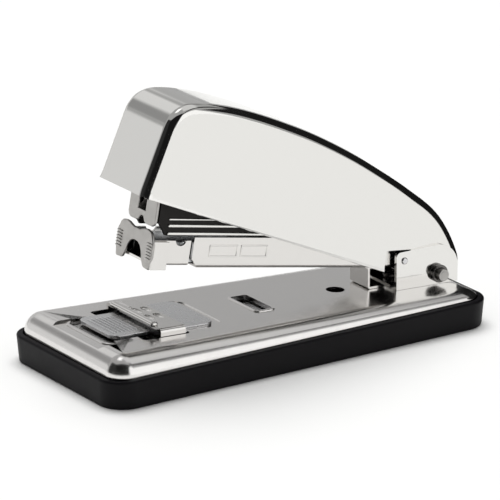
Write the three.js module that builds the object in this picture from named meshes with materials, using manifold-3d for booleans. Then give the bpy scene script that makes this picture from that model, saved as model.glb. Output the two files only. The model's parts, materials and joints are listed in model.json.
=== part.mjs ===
// Desktop stapler: pressed steel shell handle over a front-loading magazine, hinged on a pressed base.
// Millimetres, +Z up, nose towards -X, origin at the centre of the underside of the rubber sole.
import * as THREE from 'three';
import { mergeVertices } from 'three/addons/utils/BufferGeometryUtils.js';
import Module from 'manifold-3d';

const wasm = await Module();
wasm.setup();

// ---------- driving dimensions ----------
const gap = 0.3; // running clearance between neighbouring pieces

const baseLength = 145;
const baseHalfFront = 31.9; // half width of the sole at the nose end
const baseHalfRear = 26.7;
const baseCorner = 8.6; // plan radius of the sole's corners
const soleHeight = 9.1;
const soleRim = 2.0; // width of the rim around the pan
const soleFloor = 3.0;
const soleDraft = 0.61;
const soleEdge = 1.0; // rounding of the sole's upper edge

const screw = { head: 3.2, shank: 1.5, seat: 1.9, headHeight: 1.3, fromEnd: 16, fromSide: 14 };

const panWall = 1.0;
const panTopFront = 16.1; // height of the pan's top at the nose end
const panTopRear = 10.8;
const panShoulder = 6.2; // width of the rounded shoulder around the flat top
const plateInset = soleRim + gap + panWall + gap;
const plateLow = soleFloor + gap;
const plateHigh = plateLow + 1.0;

// openings in the pan's top, in the deck's frame
const half = baseLength / 2;
const dishDepth = 0.7;
const dish = { x0: 6 - half, x1: 55.5 - half, half: 12.8 };
const tabWindow = { x0: 10.3 - half, x1: 26.5 - half, half: 12.4 }; // opening under the slide's tab
const legSlot = { x0: 21.9 - half, x1: 36.4 - half, y0: 13.6, y1: 16.4 };
const catchSlot = { x0: 67.3 - half, x1: 73.3 - half, half: 7.8 };
const locatingHole = { x: half - 43.3, radius: 3.0 };
const boltRadius = 1.6;

// sliding anvil: a flat slide with a tab, and a raised pad strapped over it
const anvilTravel = 5.4; // distance between the two rows of clinching pockets
const slideLow = gap - dishDepth;
const slideHigh = slideLow + 1.2;
const anvilTab = { x0: 12.9 - half, x1: 28.5 - half, half: 10.6, corner: 3 };
const anvilPlate = { x0: 26.5 - half, x1: 49.1 - half, half: dish.half - 0.4, corner: 3.5 };
const grip = { x0: 14.9 - half, width: 0.6, pitch: 1.5, count: 5, half: 7.6, depth: 0.35 };
const padLow = slideHigh + gap;
const padHigh = padLow + 1.5;
const anvilPad = { x0: 26.9 - half, x1: 35.9 - half, half: 13, over: 2.9, ridge: 1.4, legDepth: 2.6 };
const pocket = { x: 32.9 - half, y: 4.2, radius: 2.2 };
const detent = { x0: 14.5 - half, x1: 47.5 - half, half: 3, thick: 0.5 };
const catchLeaf = { half: 6.6, low: -2.6, high: -2.0, ribs: 5, ribPitch: 1.1, ribWidth: 0.5, ribHigh: -1.6 };

// hinge
const axleX = half - 10.7;
const axleZ = 15.0;
const axleRadius = 1.9;
const axleOverhang = 3.7; // how far the pin stands out of each bracket cheek
const collar = { over: 1.0, width: 1.5 };
const earRadius = 3.5;

const staplesHalf = 6.45; // half of a 12.9 mm wide staple
const stapleHeight = 6.0;
const stapleWidth = 0.45; // thickness of the wire
const channelWall = 0.9;
const channelHalf = staplesHalf + 0.35 + channelWall;
const channelInner = channelHalf - channelWall;
const channelFloor = 0.7; // height of the channel's underside over the axle line
const channelTop = 10.5;
const channelNose = -93;
const channelRear = -12;
const magazineTilt = 10.25; // degrees, raised at rest
const handleTilt = 24.3;

const coverWall = 0.8;
const coverNose = -120.6;
const coverHalfNose = 13.7;
const coverHalfRear = channelHalf + gap + coverWall;
const coverTaperEnd = -14; // from here to the tail the shell has one width
const coverBottom = -4.9;
const coverEdge = 3.0; // rounding of the shell's long edges

const bracketWall = 1.1;
const bracketHalf = coverHalfRear + gap + bracketWall; // outer face of a cheek
const bracketFront = axleX - 15.8;
const bracketRear = axleX + 7.8;
const bracketTop = axleZ + 9.2;
const bracketFloor = 10; // length of the floor between the cheeks
const cheekCorner = { front: 1.6, rear: 7.8 };
const stud = { x: bracketFront + 3, z: bracketTop - 3, radius: 1.0, out: 0.5 };
const bolt = { x: bracketFront + 5, head: 1.2, headRadius: 2.8, low: -5.5 };
const lift = { x: axleX - 23.2, half: 5, foot: 6.4, wall: 0.7 };

// magazine, from the axle
const noseFace = -109.8; // front face of the nose clip
const clipWall = 1.0;
const chassis = { face: noseFace + 1.2, low: channelTop + 0.9, top: 27, shelf: 0.8, wall: 1.0 };
const railLow = channelFloor + channelWall + gap;
const rail = {
  half: staplesHalf - 0.75, wall: 0.7, low: railLow, top: railLow + stapleHeight + 0.4,
  rear: -12, front: noseFace + 3.9, end: 1.4,
};
const slideFloor = 0.6;
const rod = { radius: 0.9, z: 5.2 };
const cheek = { outer: channelHalf + 1.3, wall: 0.8, front: noseFace + clipWall + gap, rear: channelNose - 2, high: 9.8 };
const strip = { front: rail.front + 0.4, rear: -58, low: rail.top + gap };
const pusher = { length: 9, half: staplesHalf - 0.05, wall: 0.4, high: 1.2, low: 3.4, skirtLow: 4 };
const feedSpring = { radius: 1.65, wire: 0.28, turns: 14 };
const liftCoil = { x: -58, length: 17.5, radius: 4.2, wire: 0.55, turns: 6, lean: 6 };

// driver, in the handle's frame
const blade = { x: chassis.face + 1.8, half: staplesHalf - 0.35, wall: 0.6, low: -9.4, high: 23.5 };
const holder = { half: channelHalf + 0.8, wall: 1.2, low: 17.8, high: 26, length: 14 };
const rivetHead = { radius: 1.6, thick: 0.9, y: 4, z: 21 };
const stiffener = { x0: -88, x1: -36, half: channelHalf - 0.5, low: 19.5, high: 24.2, wall: 0.8 };

// ---------- materials ----------
const metal = (hex, roughness) => new THREE.MeshStandardMaterial({ color: hex, roughness, metalness: 1 });
const chrome = metal(0xd8d8d6, 0.12);
const satinSteel = metal(0xa9a7a3, 0.42);
const springSteel = metal(0x8d8c8a, 0.3);
const zincSteel = metal(0xbfc1c2, 0.3);
const stapleWire = metal(0xc6c8ca, 0.25);
const rubber = new THREE.MeshStandardMaterial({ color: 0x232126, roughness: 0.55, metalness: 0 });

// ---------- solids ----------
function toManifold(geometry) {
  const plain = geometry.index ? geometry.clone() : mergeVertices(bare(geometry.clone()));
  const merged = mergeVertices(bare(plain));
  return new wasm.Manifold(new wasm.Mesh({
    numProp: 3,
    vertProperties: new Float32Array(merged.attributes.position.array),
    triVerts: new Uint32Array(merged.index.array),
  }));
}

function bare(geometry) {
  for (const name of ['normal', 'uv', 'uv1']) geometry.deleteAttribute(name);
  return geometry;
}

function toGeometry(manifold) {
  const mesh = manifold.getMesh();
  const geometry = new THREE.BufferGeometry();
  geometry.setAttribute('position', new THREE.BufferAttribute(new Float32Array(mesh.vertProperties), 3));
  geometry.setIndex(new THREE.BufferAttribute(new Uint32Array(mesh.triVerts), 1));
  geometry.computeVertexNormals();
  return geometry;
}

const join = (...parts) => toGeometry(parts.map(toManifold).reduce((a, b) => a.add(b)));
const cut = (body, ...tools) => (
  toGeometry(tools.map(toManifold).reduce((a, b) => a.subtract(b), toManifold(body))));

function box(x0, x1, y0, y1, z0, z1) {
  return new THREE.BoxGeometry(x1 - x0, y1 - y0, z1 - z0)
    .translate((x0 + x1) / 2, (y0 + y1) / 2, (z0 + z1) / 2);
}

// the same box on both sides of the XZ plane, between two distances from it
const bothSides = (x0, x1, inner, outer, z0, z1) => [
  box(x0, x1, -outer, -inner, z0, z1), box(x0, x1, inner, outer, z0, z1),
];

// round bar along Y, through (x, z)
function barY(radius, x, z, y0, y1, sides = 24) {
  return new THREE.CylinderGeometry(radius, radius, y1 - y0, sides).translate(x, (y0 + y1) / 2, z);
}

function barZ(radius, x, y, z0, z1, sides = 20) {
  return new THREE.CylinderGeometry(radius, radius, z1 - z0, sides)
    .rotateX(Math.PI / 2).translate(x, y, (z0 + z1) / 2);
}

function barX(radius, y, z, x0, x1, sides = 16) {
  return new THREE.CylinderGeometry(radius, radius, x1 - x0, sides)
    .rotateZ(Math.PI / 2).translate((x0 + x1) / 2, y, z);
}

const outlineOf = (points) => new THREE.Shape(points.map(([a, b]) => new THREE.Vector2(a, b)));

// outline in the XZ plane, thickness along Y
function sidePlate(outline, y0, y1) {
  const shape = outline instanceof THREE.Shape ? outline : outlineOf(outline);
  return new THREE.ExtrudeGeometry(shape, { depth: y1 - y0, bevelEnabled: false, curveSegments: 10 })
    .rotateX(Math.PI / 2).translate(0, y1, 0);
}

// two such plates, one on each side
const earPlates = (outer, wall, outline) => [
  sidePlate(outline, -outer, -outer + wall), sidePlate(outline, outer - wall, outer),
];

// outline in the YZ plane, thickness along X
function frontPlate(shape, x0, x1) {
  return new THREE.ExtrudeGeometry(shape, { depth: x1 - x0, bevelEnabled: false, curveSegments: 8 })
    .rotateZ(Math.PI / 2).rotateY(Math.PI / 2).translate(x0, 0, 0);
}

// outline in the XY plane, thickness along Z
function planPlate(shape, z0, z1) {
  return new THREE.ExtrudeGeometry(shape, { depth: z1 - z0, bevelEnabled: false, curveSegments: 6 })
    .translate(0, 0, z0);
}

function roundedRectangle(x0, x1, y0, y1, r) {
  const shape = new THREE.Shape();
  shape.moveTo(x0 + r, y0).lineTo(x1 - r, y0).absarc(x1 - r, y0 + r, r, -Math.PI / 2, 0)
    .lineTo(x1, y1 - r).absarc(x1 - r, y1 - r, r, 0, Math.PI / 2)
    .lineTo(x0 + r, y1).absarc(x0 + r, y1 - r, r, Math.PI / 2, Math.PI)
    .lineTo(x0, y0 + r).absarc(x0 + r, y0 + r, r, Math.PI, 1.5 * Math.PI);
  return shape;
}

// closed skin through equal rings of points; strips across the first and the last ring close its ends
function loft(rings) {
  const count = rings[0].length;
  const faces = [];
  for (let r = 0; r + 1 < rings.length; r++) {
    for (let i = 0; i < count; i++) {
      const a = r * count + i;
      const b = r * count + (i + 1) % count;
      faces.push(a, b, b + count, a, b + count, a + count);
    }
  }
  const last = (rings.length - 1) * count;
  for (let i = 0; i + 1 < count / 2; i++) {
    const j = count - 1 - i;
    faces.push(i, j, j - 1, i, j - 1, i + 1);
    faces.push(last + i, last + j - 1, last + j, last + i, last + i + 1, last + j - 1);
  }
  const geometry = new THREE.BufferGeometry().setFromPoints(rings.flat());
  geometry.setIndex(faces);
  return geometry;
}

// helical spring wound about the Z axis, standing on z = 0
function coil(radius, wire, length, turns, perTurn = 10) {
  class Helix extends THREE.Curve {
    getPoint(t, target = new THREE.Vector3()) {
      const a = 2 * Math.PI * turns * t;
      return target.set(radius * Math.cos(a), radius * Math.sin(a), wire + (length - 2 * wire) * t);
    }
  }
  const section = new THREE.Shape().absarc(0, 0, wire, 0, 2 * Math.PI);
  return new THREE.ExtrudeGeometry(section, {
    extrudePath: new Helix(), steps: Math.round(turns * perTurn), curveSegments: 3,
  });
}

function rivet(radius, head, headRadius, z0, z1) {
  return new THREE.LatheGeometry([
    new THREE.Vector2(0, z0), new THREE.Vector2(radius, z0), new THREE.Vector2(radius, z1),
    new THREE.Vector2(headRadius, z1), new THREE.Vector2(headRadius * 0.8, z1 + head * 0.8),
    new THREE.Vector2(0, z1 + head),
  ], 16).rotateX(Math.PI / 2);
}

// ---------- assembly groups ----------
const stapler = new THREE.Group();
const degrees = THREE.MathUtils.degToRad;
const panSlope = (panTopFront - panTopRear) / baseLength;
const panTopAt = (x) => (panTopFront + panTopRear) / 2 - panSlope * x;

const deck = new THREE.Group(); // the pan's sloping top: x along it, z up from its surface
deck.position.z = panTopAt(0);
deck.rotation.y = Math.atan(panSlope);

const magazine = new THREE.Group(); // x from the axle, z square to the magazine
magazine.position.set(axleX, 0, axleZ);
magazine.rotation.y = degrees(magazineTilt);

const handle = new THREE.Group();
handle.position.copy(magazine.position);
handle.rotation.y = degrees(handleTilt);
stapler.add(deck, magazine, handle);

function add(group, name, geometry, material) {
  const mesh = new THREE.Mesh(geometry, material);
  mesh.name = name;
  group.add(mesh);
  return mesh;
}

// turns a shape made in the deck's frame into the stapler's frame
const fromDeck = (geometry) => {
  deck.updateMatrix();
  return geometry.applyMatrix4(deck.matrix);
};

// ---------- base: sole, plate, pan ----------
// one ring of the tapered plan, drawn in by inset; height is a number or a function of x
function planRing(inset, height, arcs = 5) {
  const radius = Math.max(baseCorner - inset, 0.8);
  const half = baseLength / 2;
  const corners = [[half, -1, -Math.PI / 2], [half, 1, 0], [-half, 1, Math.PI / 2], [-half, -1, Math.PI]];
  const ring = [];
  for (const [x, side, start] of corners) {
    const width = x > 0 ? baseHalfRear : baseHalfFront;
    const cx = x - Math.sign(x) * (inset + radius);
    const cy = side * (width - inset - radius);
    for (let i = 0; i <= arcs; i++) {
      const a = start + (i / arcs) * Math.PI / 2;
      const px = cx + radius * Math.cos(a);
      const pz = typeof height === 'number' ? height : height(px);
      ring.push(new THREE.Vector3(px, cy + radius * Math.sin(a), pz));
    }
  }
  return ring;
}

function screwPlaces() {
  const x = half - screw.fromEnd;
  const y = baseHalfRear - screw.fromSide;
  return [[-x, -y], [-x, y], [x, -y], [x, y]];
}

function buildSole() {
  const foot = 0.6; // small bevel at the desk
  const outside = loft([
    planRing(soleDraft + 0.5, 0), planRing(soleDraft, foot), planRing(0, soleHeight - soleEdge),
    planRing(soleEdge * 0.3, soleHeight - soleEdge * 0.3), planRing(soleEdge, soleHeight),
  ]);
  const pocketFloor = loft([planRing(soleRim, soleFloor), planRing(soleRim, soleHeight + 1)]);
  const holes = screwPlaces().flatMap(([x, y]) => [
    barZ(screw.head + gap, x, y, -1, screw.seat), barZ(screw.shank + gap, x, y, -1, soleFloor + 1),
  ]);
  return cut(outside, pocketFloor, ...holes);
}

function buildPlate() {
  const plate = loft([planRing(plateInset, plateLow), planRing(plateInset, plateHigh)]);
  return cut(plate, ...screwPlaces().map(([x, y]) => barZ(screw.shank + gap, x, y, 0, soleHeight)),
    barZ(boltRadius + gap, bolt.x, 0, 0, soleHeight));
}

function panSkin(inset, drop, low) {
  const rings = [planRing(inset, low), planRing(inset, soleHeight + 0.2 - drop)];
  const steps = 6;
  for (let i = 1; i <= steps; i++) {
    const t = (i / steps) * Math.PI / 2;
    const shoulder = panShoulder * (1 - Math.cos(t));
    const foot = soleHeight + 0.2 - drop;
    rings.push(planRing(inset + shoulder, (x) => foot + (panTopAt(x) - drop - foot) * Math.sin(t)));
  }
  return loft(rings);
}

// the pressed dish takes the anvil slide; slots for its legs, a catch slot and a locating hole go through
function buildPan() {
  const inset = soleRim + gap;
  const shell = cut(panSkin(inset, 0, plateLow), panSkin(inset + panWall, panWall, plateLow - 1));
  const tray = fromDeck(planPlate(roundedRectangle(dish.x0 - panWall, dish.x1 + panWall, -dish.half - panWall,
    dish.half + panWall, 3), -dishDepth - panWall, -panWall / 2));
  const hollowPlan = roundedRectangle(dish.x0, dish.x1, -dish.half, dish.half, 2);
  const hollow = fromDeck(planPlate(hollowPlan, -dishDepth, 4));
  const through = [
    planPlate(roundedRectangle(tabWindow.x0, tabWindow.x1, -tabWindow.half, tabWindow.half, 1.6), -5, 5),
    ...bothSides(legSlot.x0, legSlot.x1, legSlot.y0, legSlot.y1, -5, 5),
    planPlate(roundedRectangle(catchSlot.x0, catchSlot.x1, -catchSlot.half, catchSlot.half, 0.8), -5, 5),
    barZ(locatingHole.radius, locatingHole.x, 0, -5, 5),
    barZ(boltRadius + gap, bolt.x, 0, -5, 5),
  ].map(fromDeck);
  return cut(join(shell, tray), hollow, ...through);
}

function buildScrew(x, y) {
  const under = screw.seat - 0.1; // underside of the head
  const low = under - screw.headHeight;
  const profile = [
    [0, low], [screw.head, low], [screw.head, under], [screw.shank, under], [screw.shank, plateHigh + 2],
    [0, plateHigh + 2],
  ].map(([r, z]) => new THREE.Vector2(r, z));
  return new THREE.LatheGeometry(profile, 16).rotateX(Math.PI / 2).translate(x, y, 0);
}

add(stapler, 'rubber_sole', buildSole(), rubber);
add(stapler, 'bottom_plate', buildPlate(), zincSteel);
add(stapler, 'base_pan', buildPan(), chrome);
screwPlaces().forEach(([x, y], i) => add(stapler, `sole_screw_${i + 1}`, buildScrew(x, y), zincSteel));

// ---------- anvil ----------
function buildAnvilSlide() {
  const { x0, x1, corner } = anvilTab;
  const tab = planPlate(roundedRectangle(x0, x1, -anvilTab.half, anvilTab.half, corner), slideLow, slideHigh);
  const body = planPlate(roundedRectangle(anvilPlate.x0, anvilPlate.x1, -anvilPlate.half, anvilPlate.half,
    anvilPlate.corner), slideLow, slideHigh);
  const grooves = [];
  for (let i = 0; i < grip.count; i++) {
    const x = grip.x0 + i * grip.pitch;
    grooves.push(box(x, x + grip.width, -grip.half, grip.half, slideHigh - grip.depth, slideHigh + 1));
  }
  return cut(join(tab, body), ...grooves);
}

function buildAnvilPad() {
  const outer = anvilPad.half + anvilPad.over;
  const top = box(anvilPad.x0, anvilPad.x1, -outer, outer, padLow, padHigh);
  const ridge = box(anvilPad.x0, anvilPad.x0 + anvilPad.ridge, -anvilPad.half, anvilPad.half,
    padHigh - 0.2, padHigh + 0.5);
  const legs = bothSides(anvilPad.x0 + 0.5, anvilPad.x1, legSlot.y0 + gap, outer,
    -anvilPad.legDepth, padHigh - 0.2);
  const hollow = (x, side, lifted) => new THREE.SphereGeometry(pocket.radius, 12, 8).scale(0.5, 1, 0.35)
    .translate(x, side * pocket.y, padHigh + lifted);
  const pockets = [-1, 1].flatMap((side) => [
    hollow(pocket.x, side, 0), hollow(pocket.x - anvilTravel + 0.7, side, 0.4),
  ]);
  return cut(join(top, ridge, ...legs), ...pockets);
}

// leaf under the slide, with a downturned end
function buildDetent() {
  const low = -dishDepth - panWall - gap - 0.6;
  return join(
    box(detent.x0, detent.x1, -detent.half, detent.half, low, low + detent.thick),
    box(detent.x0 - 1, detent.x0 + 1, -detent.half, detent.half, low - 1.2, low + detent.thick),
  );
}

// ribbed leaf seen through the catch slot
function buildCatchLeaf() {
  const { half: width, low, high, ribPitch, ribWidth, ribHigh } = catchLeaf;
  const leaf = box(catchSlot.x0 - 2, catchSlot.x1 + 2, -width, width, low, high);
  const ribs = [];
  for (let i = 0; i < catchLeaf.ribs; i++) {
    const x = catchSlot.x0 + 0.5 + i * ribPitch;
    ribs.push(box(x, x + ribWidth, 0.6 - width, width - 0.6, high - 0.1, ribHigh));
  }
  return join(leaf, ...ribs);
}

add(deck, 'anvil_slide', buildAnvilSlide(), zincSteel);
add(deck, 'anvil_pad', buildAnvilPad(), chrome);
add(deck, 'anvil_detent_spring', buildDetent(), springSteel);
add(deck, 'catch_spring', buildCatchLeaf(), springSteel);

// ---------- hinge bracket and axle ----------
function cheekOutline() {
  const low = (x) => panTopAt(x) + gap;
  const { front, rear } = cheekCorner;
  const shape = new THREE.Shape();
  shape.moveTo(bracketFront, low(bracketFront)).lineTo(bracketRear, low(bracketRear));
  shape.lineTo(bracketRear, bracketTop - rear);
  shape.absarc(bracketRear - rear, bracketTop - rear, rear, 0, Math.PI / 2);
  shape.lineTo(bracketFront + front, bracketTop);
  shape.absarc(bracketFront + front, bracketTop - front, front, Math.PI / 2, Math.PI);
  return shape;
}

function buildBracket() {
  const inner = bracketHalf - bracketWall;
  const cheeks = earPlates(bracketHalf, bracketWall, cheekOutline());
  const back = bracketFront + bracketFloor;
  const low = panTopAt(bracketFront) + gap;
  const lowBack = panTopAt(back) + gap;
  const floor = sidePlate([
    [bracketFront, low], [back, lowBack], [back, lowBack + bracketWall], [bracketFront, low + bracketWall],
  ], -inner - 0.2, inner + 0.2);
  const studHoles = barY(stud.radius + 0.15, stud.x, stud.z, -20, 20, 16);
  const boltHole = fromDeck(barZ(boltRadius + gap, bolt.x, 0, -5, 5));
  return cut(join(floor, ...cheeks), barY(axleRadius + 0.2, axleX, axleZ, -20, 20), studHoles, boltHole);
}

// a collar outside one cheek, and the stud above it
function buildCollar() {
  const from = bracketHalf + 0.1;
  return cut(barY(axleRadius + collar.over, axleX, axleZ, from, from + collar.width, 32),
    barY(axleRadius + 0.12, axleX, axleZ, 0, 20, 32));
}

const buildStud = () => (
  barY(stud.radius, stud.x, stud.z, bracketHalf - bracketWall, bracketHalf + stud.out, 16));

add(stapler, 'hinge_bracket', buildBracket(), chrome);
const axleHalf = bracketHalf + axleOverhang;
add(stapler, 'axle_pin', barY(axleRadius, axleX, axleZ, -axleHalf, axleHalf, 32), zincSteel);
const turnedAbout = (geometry, x) => geometry.rotateZ(Math.PI).translate(2 * x, 0, 0);
add(stapler, 'axle_collar_far', buildCollar(), zincSteel);
add(stapler, 'axle_collar_near', turnedAbout(buildCollar(), axleX), zincSteel);
add(stapler, 'stop_stud_far', buildStud(), zincSteel);
add(stapler, 'stop_stud_near', turnedAbout(buildStud(), stud.x), zincSteel);
const boltHead = rivet(boltRadius, bolt.head, bolt.headRadius, bolt.low, gap + bracketWall + 0.15);
add(deck, 'bracket_bolt', boltHead.translate(bolt.x, 0, 0), zincSteel);

// leaf spring that lifts the magazine: foot on the deck, upright front, top under the magazine
const magazineSlope = degrees(magazineTilt);
const magazineUnderside = (x) => (
  axleZ + (axleX - x) * Math.tan(magazineSlope) + channelFloor / Math.cos(magazineSlope));

function buildLiftSpring() {
  const { x, foot, wall } = lift;
  const low = panTopAt(x) + gap;
  const high = magazineUnderside(x) - gap;
  const back = magazineUnderside(x + foot) - gap;
  const lowBack = panTopAt(x + foot) + gap;
  return sidePlate([
    [x, low], [x + foot, lowBack], [x + foot, lowBack + wall], [x + wall, low + wall],
    [x + wall, high - wall], [x + foot, back - wall], [x + foot, back], [x, high],
  ], -lift.half, lift.half);
}

add(stapler, 'lift_spring', buildLiftSpring(), chrome);

// ---------- magazine ----------
// a shallow raised frame on the near wall, one for each staple size
function sizeFrame(x0, x1) {
  const line = 0.5;
  return cut(
    box(x0, x1, -channelHalf - 0.25, -channelHalf + 0.3, 4.5, 8.1),
    box(x0 + line, x1 - line, -channelHalf - 1, -channelHalf, 4.5 + line, 8.1 - line),
  );
}

function buildChannel() {
  const noseBevel = 2.8;
  const shape = new THREE.Shape();
  shape.moveTo(channelNose, channelFloor + 1.2).lineTo(channelNose + noseBevel, channelFloor);
  shape.lineTo(channelRear, channelFloor).lineTo(-4, -earRadius * 0.8);
  shape.absarc(0, 0, earRadius, -Math.PI * 0.7, Math.PI * 0.5);
  shape.lineTo(-10, channelTop).lineTo(channelNose, channelTop);
  const sides = earPlates(channelHalf, channelWall, shape);
  const floor = box(channelNose + noseBevel, channelRear, -channelHalf + 0.2, channelHalf - 0.2,
    channelFloor, channelFloor + channelWall);
  const frames = [[6, 16.6], [17.7, 27.8]].map(([a, b]) => sizeFrame(channelNose + a, channelNose + b));
  return cut(join(floor, ...sides, ...frames), barY(axleRadius + gap, 0, 0, -20, 20));
}

// front plate with two lobes over the staple throat
function frontLobes() {
  const width = channelHalf;
  const low = 13.6;
  const notch = 15.4;
  const shape = outlineOf([
    [-width, chassis.top], [-width, low + 1.6], [1.4 - width, low], [-2.6, low], [0, notch],
    [2.6, low], [width - 1.4, low], [width, low + 1.6], [width, chassis.top],
  ]);
  const hole = [[-2.1, 17.6], [2.1, 17.6], [2.1, 21.1], [-2.1, 21.1]];
  shape.holes.push(new THREE.Path(hole.map(([y, z]) => new THREE.Vector2(y, z))));
  return shape;
}

// the front plate, its side walls, and a bridge under the return spring
function buildChassis() {
  const front = frontPlate(frontLobes(), chassis.face, chassis.face + chassis.wall);
  const walls = earPlates(channelHalf, channelWall, [
    [chassis.face + 0.4, 15.2], [chassis.face + 4, chassis.low], [-30, chassis.low], [-30, 15.5],
    [-62, 17.5], [-92, chassis.top], [chassis.face + 0.4, chassis.top],
  ]);
  const bridge = box(-78, -34, -channelInner - 0.2, channelInner + 0.2,
    chassis.low, chassis.low + chassis.shelf);
  const grooves = [[12.9, 13.3], [14.3, 14.8]].flatMap(([low, high]) => (
    bothSides(-102, -31, channelHalf - 0.25, channelHalf + 0.25, low, high)));
  return cut(join(front, bridge, ...walls), ...grooves);
}

add(magazine, 'magazine_channel', buildChannel(), chrome);
add(magazine, 'magazine_chassis', buildChassis(), chrome);

// ---------- loading slide, nose clip, staples, pusher ----------
function buildLoadingSlide() {
  const { wall, low, top, rear, front, end } = rail;
  const floor = box(front, rear, -channelInner + gap, channelInner - gap, low, low + slideFloor);
  const apron = box(front + 2.4, cheek.rear, -cheek.outer, cheek.outer, low, low + slideFloor);
  const roof = box(front, rear, -rail.half, rail.half, top - wall, top);
  const sides = bothSides(front, rear, rail.half - wall, rail.half, low, top);
  const ends = [
    box(front, front + end, -rail.half, rail.half, low, top),
    box(rear - end, rear, -rail.half, rail.half, low, top),
  ];
  const notch = barY(1.9, cheek.rear - 3.8, cheek.high + 0.4, -20, 20, 16);
  const cheeks = bothSides(cheek.front, cheek.rear, cheek.outer - cheek.wall, cheek.outer, low, cheek.high)
    .map((plate) => cut(plate, notch));
  const slot = box(front + 8, rear - 4, -1.6, 1.6, top - 2, top + 1);
  const bore = barX(rod.radius + 0.15, 0, rod.z, front - 1, rear + 1);
  return cut(join(floor, apron, roof, ...sides, ...ends, ...cheeks), slot, bore);
}

// one half of the clip's face, from the middle of its top round to the middle of the throat's arch
const clipHalf = [
  [0, 11.4], [2.2, 11.6], [4.2, 12.5], [7.8, 12.4], [9.2, 10.8], [10.2, 9.0], [10.2, 4.6], [9.8, 2.4],
  [9.4, 0.6], [6.4, 0.6], [4.4, 2.6], [3.0, 6.2], [1.4, 7.2],
];

function buildNoseClip() {
  const mirrored = clipHalf.slice(1).reverse().map(([y, z]) => [-y, z]);
  const face = frontPlate(outlineOf([...clipHalf, ...mirrored]), noseFace, noseFace + clipWall);
  const inner = cheek.outer + gap;
  return join(face, ...bothSides(noseFace + 0.3, noseFace + 6, inner, inner + 0.8, 0.7, 9.6));
}

function buildStaples() {
  const { low } = strip;
  const crown = low + 0.5;
  const foot = low - stapleHeight;
  const inner = staplesHalf - stapleWidth;
  return frontPlate(outlineOf([
    [-staplesHalf, foot], [-staplesHalf, crown], [staplesHalf, crown], [staplesHalf, foot],
    [inner, foot], [inner, low], [-inner, low], [-inner, foot],
  ]), strip.front, strip.rear);
}

const pusherFront = strip.rear + gap;
const pusherBack = pusherFront + pusher.length;

function buildPusher() {
  const top = strip.low;
  const saddle = box(pusherFront, pusherBack, -pusher.half, pusher.half, top, top + pusher.high);
  const skirts = bothSides(pusherFront, pusherBack, pusher.half - pusher.wall, pusher.half,
    pusher.skirtLow, top + 0.5);
  const tongue = box(pusherFront + 1, pusherBack - 1, -1.2, 1.2, pusher.low, top + 0.4);
  const bore = barX(rod.radius + 0.25, 0, rod.z, pusherFront - 1, pusherBack + 1);
  return cut(join(saddle, ...skirts, tongue), bore);
}

function buildFeedSpring() {
  const start = pusherBack - 1 + gap;
  const length = rail.rear - rail.end - gap - start;
  return coil(feedSpring.radius, feedSpring.wire, length, feedSpring.turns, 8)
    .rotateY(Math.PI / 2).translate(start, 0, rod.z);
}

add(magazine, 'loading_slide', buildLoadingSlide(), zincSteel);
add(magazine, 'nose_clip', buildNoseClip(), satinSteel);
add(magazine, 'guide_rod', barX(rod.radius, 0, rod.z, rail.front + 0.2, rail.rear - 0.2), zincSteel);
add(magazine, 'staple_strip', buildStaples(), stapleWire);
add(magazine, 'staple_pusher', buildPusher(), satinSteel);
add(magazine, 'pusher_spring', buildFeedSpring(), springSteel);

// ---------- handle ----------
// the shell's upper line from nose to tail, in the handle's frame
const archPoints = [
  [coverNose, 16], [coverNose + 0.4, 20], [coverNose + 2.3, 23.6], [coverNose + 6.1, 26.2], [-105, 28.7],
  [-95, 29.8], [-82, 30.2], [-68, 29.7], [-55, 28.7], [-42, 26.9], [-28, 24.2], [-18, 21.8], [-9.5, 19.6],
  [-4, 17], [1.5, 13.2], [6, 9.3], [9.0, 6], [10.6, 2],
];

// what is cut away below the shell, with an open notch around the axle's ears
const belowCover = [
  [coverNose - 10, coverBottom], [-18.3, coverBottom], [-20, 1.2], [-13, 4.4], [-4.2, 0.4], [-3.2, -2],
  [-1.8, -3], [0, -earRadius], [2, -2.9], [3.3, -1.3], [4.4, 1.4], [20, 9.4], [20, -40],
  [coverNose - 10, -40],
];

const coverHalf = (x) => {
  const t = Math.min(Math.max((x - coverNose) / (coverTaperEnd - coverNose), 0), 1);
  return coverHalfNose + (coverHalfRear - coverHalfNose) * t;
};

// the arch drawn in by a distance square to itself
function drawnIn(points, distance) {
  return points.map(([x, z], i) => {
    const [ax, az] = points[Math.max(i - 1, 0)];
    const [bx, bz] = points[Math.min(i + 1, points.length - 1)];
    const length = Math.hypot(bx - ax, bz - az);
    return [x + (bz - az) / length * distance, z - (bx - ax) / length * distance];
  });
}

function coverSkin(thin, low) {
  const rings = [];
  const steps = 4;
  const edge = coverEdge - thin / 2;
  for (let side = -1; side <= 1; side += 2) {
    for (let i = 0; i <= steps; i++) {
      const t = (side < 0 ? i : steps - i) / steps * Math.PI / 2;
      const inward = thin + edge * (1 - Math.sin(t));
      const across = edge * (1 - Math.cos(t));
      const arch = drawnIn(archPoints, inward).map(([x, z]) => (
        new THREE.Vector3(x, side * (coverHalf(x) - thin - across), z)));
      rings.push([...arch, ...arch.map((p) => new THREE.Vector3(p.x, p.y, low)).reverse()]);
    }
  }
  return loft(rings);
}

function buildCover() {
  return cut(coverSkin(0, -20), coverSkin(coverWall, -30), sidePlate(belowCover, -30, 30),
    barY(axleRadius + gap, 0, 0, -20, 20));
}

function buildBladeHolder() {
  const x0 = blade.x + blade.wall / 2 + gap;
  const back = box(x0, x0 + holder.wall, -holder.half, holder.half, holder.low, holder.high);
  const shelf = box(x0, x0 + holder.length, -holder.half, holder.half,
    holder.high - holder.wall, holder.high);
  return join(back, shelf);
}

function buildRivetHead(side) {
  const back = blade.x - blade.wall / 2 - gap;
  return barX(rivetHead.radius, side * rivetHead.y, rivetHead.z, back - rivetHead.thick, back);
}

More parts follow.
